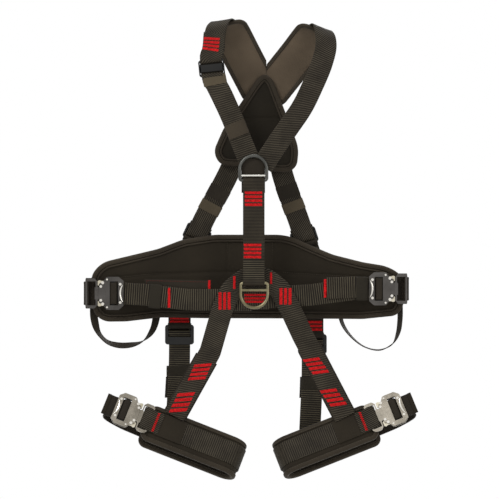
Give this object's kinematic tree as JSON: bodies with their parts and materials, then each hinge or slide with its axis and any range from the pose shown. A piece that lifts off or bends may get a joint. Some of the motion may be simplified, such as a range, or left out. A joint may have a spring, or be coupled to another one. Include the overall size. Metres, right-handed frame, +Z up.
{
  "type": "full body safety harness",
  "caption": "Full-body work positioning harness with dorsal, sternal and ventral rings, padded waist belt, padded leg loops, quick-connect buckles and gear loops.",
  "frame": {"origin": "middle of the eye of the dorsal ring, between the shoulder blades, from which the harness hangs", "axes": "+Z up towards the shoulders, -Y towards the wearer's front, +X towards the wearer's left (right in a front view)"},
  "size_m": [0.699, 0.1256, 0.9669],
  "materials": {
    "webbing": "woven polyester webbing",
    "pad_fabric": "dense polyester fabric with bound edges",
    "mesh_lining": "breathable spacer mesh",
    "elastic": "woven elastic band",
    "black_plastic": "moulded, fine grain",
    "black_steel": "black coated steel",
    "ring_steel": "dark coated forged steel",
    "ring_gold": "yellow zinc plated forged steel",
    "buckle_waist": "dark bead-blasted steel",
    "buckle_leg": "bead-blasted aluminium alloy",
    "lever_steel": "polished steel",
    "rivet_steel": "polished"
  },
  "bodies": {
    "sternal_ring": {"sternal_ring": "ring_steel"},
    "ventral_ring": {"ventral_ring": "ring_gold"},
    "dorsal_ring": {"dorsal_ring": "ring_steel"},
    "waist_left_lever_upper": {"waist_left_lever_upper": "lever_steel"},
    "waist_left_lever_lower": {"waist_left_lever_lower": "lever_steel"},
    "waist_left_slide_bar": {"waist_left_slide_bar": "black_steel"},
    "waist_right_lever_upper": {"waist_right_lever_upper": "lever_steel"},
    "waist_right_lever_lower": {"waist_right_lever_lower": "lever_steel"},
    "waist_right_slide_bar": {"waist_right_slide_bar": "black_steel"},
    "leg_left_lever_upper": {"leg_left_lever_upper": "lever_steel"},
    "leg_left_lever_lower": {"leg_left_lever_lower": "lever_steel"},
    "leg_left_slide_bar": {"leg_left_slide_bar": "black_steel"},
    "leg_right_lever_upper": {"leg_right_lever_upper": "lever_steel"},
    "leg_right_lever_lower": {"leg_right_lever_lower": "lever_steel"},
    "leg_right_slide_bar": {"leg_right_slide_bar": "black_steel"},
    "root": {"back_pad": "pad_fabric", "belly_strap_left": "webbing", "belly_strap_right": "webbing", "buckle_rivets": "rivet_steel", "centre_strap": "webbing", "chest_patch": "webbing", "dorsal_plate": "black_plastic", "dorsal_ring_fold": "webbing", "elastic_keepers": "elastic", "gear_loop_left": "webbing", "gear_loop_right": "webbing", "leg_adjuster_left": "black_steel", "leg_adjuster_right": "black_steel", "leg_left_buckle_body": "buckle_leg", "leg_left_buckle_tab": "buckle_leg", "leg_pad_left": "pad_fabric", "leg_pad_right": "pad_fabric", "leg_right_buckle_body": "buckle_leg", "leg_right_buckle_tab": "buckle_leg", "leg_tail_left": "webbing", "leg_tail_right": "webbing", "leg_web_left": "webbing", "leg_web_right": "webbing", "lever_springs": "rivet_steel", "rear_adjuster_left": "black_steel", "rear_adjuster_right": "black_steel", "rear_leg_strap_left": "webbing", "rear_leg_strap_right": "webbing", "rear_strap_left": "webbing", "rear_strap_right": "webbing", "riser_left": "webbing", "riser_right": "webbing", "shoulder_adjuster": "black_steel", "shoulder_pad_left": "mesh_lining", "shoulder_pad_right": "mesh_lining", "shoulder_strap_left": "webbing", "shoulder_strap_left_lower": "webbing", "shoulder_strap_right": "webbing", "waist_belt": "webbing", "waist_left_buckle_body": "buckle_waist", "waist_left_buckle_tab": "buckle_waist", "waist_pad": "pad_fabric", "waist_pad_tabs": "webbing", "waist_right_buckle_body": "buckle_waist", "waist_right_buckle_tab": "buckle_waist"}
  },
  "joints": [
    {"name": "sternal_ring_swing", "type": "hinge", "parent": "root", "child": "sternal_ring", "pos_m": [-0.011, -0.113, -0.132], "axis": [1, 0, 0], "range_deg": [0, 115]},
    {"name": "ventral_ring_swing", "type": "hinge", "parent": "root", "child": "ventral_ring", "pos_m": [-0.009, -0.113, -0.346], "axis": [-1, 0, 0], "range_deg": [0, 115]},
    {"name": "dorsal_ring_swing", "type": "hinge", "parent": "root", "child": "dorsal_ring", "pos_m": [0, 0, -0.027], "axis": [-1, 0, 0], "range_deg": [0, 115]},
    {"name": "waist_left_lever_upper_press", "type": "hinge", "parent": "root", "child": "waist_left_lever_upper", "pos_m": [-0.325, -0.097, -0.3455], "axis": [0, -1, 0], "range_deg": [0, 10], "stiffness_Nm_per_rad": 0.08, "springref_deg": -4.58},
    {"name": "waist_left_lever_lower_press", "type": "hinge", "parent": "root", "child": "waist_left_lever_lower", "pos_m": [-0.325, -0.097, -0.3895], "axis": [0, 1, 0], "range_deg": [0, 10], "stiffness_Nm_per_rad": 0.08, "springref_deg": -4.58},
    {"name": "waist_left_slide_bar_float", "type": "slide", "parent": "root", "child": "waist_left_slide_bar", "axis": [1, 0, 0], "range_m": [0, 0.0025]},
    {"name": "waist_right_lever_upper_press", "type": "hinge", "parent": "root", "child": "waist_right_lever_upper", "pos_m": [0.274, -0.097, -0.336], "axis": [0, 1, 0], "range_deg": [0, 10], "stiffness_Nm_per_rad": 0.08, "springref_deg": -4.58},
    {"name": "waist_right_lever_lower_press", "type": "hinge", "parent": "root", "child": "waist_right_lever_lower", "pos_m": [0.274, -0.097, -0.38], "axis": [0, -1, 0], "range_deg": [0, 10], "stiffness_Nm_per_rad": 0.08, "springref_deg": -4.58},
    {"name": "waist_right_slide_bar_float", "type": "slide", "parent": "root", "child": "waist_right_slide_bar", "axis": [-1, 0, 0], "range_m": [0, 0.0025]},
    {"name": "leg_left_lever_upper_press", "type": "hinge", "parent": "root", "child": "leg_left_lever_upper", "pos_m": [-0.2513, -0.09615, -0.59971], "axis": [-0.1254, 0.9397, -0.3182], "range_deg": [0, 10], "stiffness_Nm_per_rad": 0.08, "springref_deg": -4.58},
    {"name": "leg_left_lever_lower_press", "type": "hinge", "parent": "root", "child": "leg_left_lever_lower", "pos_m": [-0.26645, -0.1112, -0.63818], "axis": [0.1254, -0.9397, 0.3182], "range_deg": [0, 10], "stiffness_Nm_per_rad": 0.08, "springref_deg": -4.58},
    {"name": "leg_left_slide_bar_float", "type": "slide", "parent": "root", "child": "leg_left_slide_bar", "axis": [-0.9304, 0, 0.3665], "range_m": [0, 0.0025]},
    {"name": "leg_right_lever_upper_press", "type": "hinge", "parent": "root", "child": "leg_right_lever_upper", "pos_m": [0.2553, -0.09615, -0.59771], "axis": [-0.1254, -0.9397, 0.3182], "range_deg": [0, 10], "stiffness_Nm_per_rad": 0.08, "springref_deg": -4.58},
    {"name": "leg_right_lever_lower_press", "type": "hinge", "parent": "root", "child": "leg_right_lever_lower", "pos_m": [0.27045, -0.1112, -0.63618], "axis": [0.1254, 0.9397, -0.3182], "range_deg": [0, 10], "stiffness_Nm_per_rad": 0.08, "springref_deg": -4.58},
    {"name": "leg_right_slide_bar_float", "type": "slide", "parent": "root", "child": "leg_right_slide_bar", "axis": [0.9304, 0, 0.3665], "range_m": [0, 0.0025]}
  ]
}
